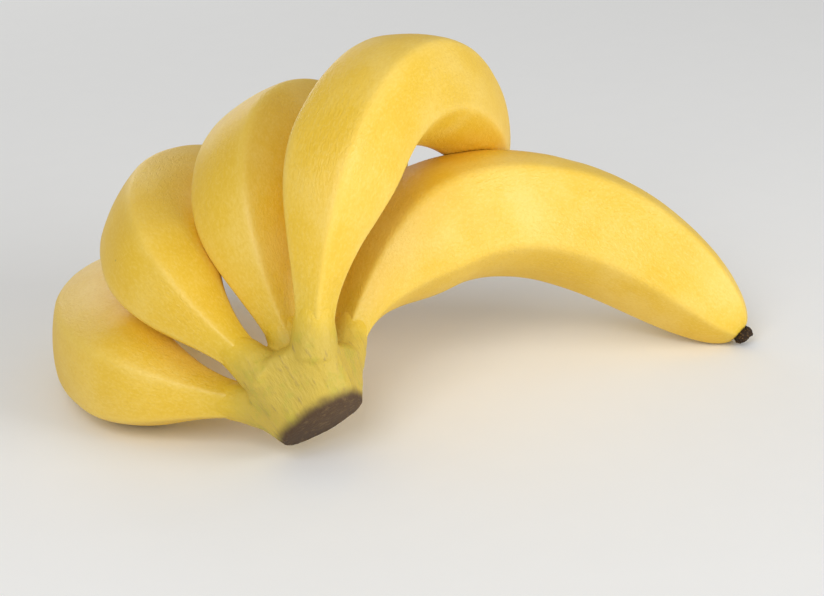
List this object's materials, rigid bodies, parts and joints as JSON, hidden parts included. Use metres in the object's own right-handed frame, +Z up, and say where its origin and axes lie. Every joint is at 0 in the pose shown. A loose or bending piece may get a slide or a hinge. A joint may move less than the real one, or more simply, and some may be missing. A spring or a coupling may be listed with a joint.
{
  "type": "bunch of bananas",
  "caption": "Bunch of ripe yellow bananas on one cut crown, lying down, curved fingers with soft ridges and dried blossom ends.",
  "frame": {"origin": "middle of the bunch's bounding box, on the surface that it lies on", "axes": "+Z up from the surface; +X to the right along the bunch's longest side, from the lying outer banana to the one that reaches out; the camera side, with the crown, is -Y"},
  "size_m": [0.2558, 0.1652, 0.1265],
  "materials": {
    "banana_peel": "ripe yellow banana peel, satin and faintly waxy, with fine pores",
    "crown_flesh": "olive-yellow woody crown with a dried brown cut face",
    "dried_blossom": "dry, crumpled, nearly black flower remains"
  },
  "bodies": {
    "root": {"crown": "crown_flesh", "banana_1": "banana_peel", "banana_2": "banana_peel", "banana_3": "banana_peel", "banana_4": "banana_peel", "banana_5": "banana_peel", "blossom_tip_1": "dried_blossom", "blossom_tip_2": "dried_blossom", "blossom_tip_3": "dried_blossom", "blossom_tip_4": "dried_blossom", "blossom_tip_5": "dried_blossom"}
  },
  "joints": []
}
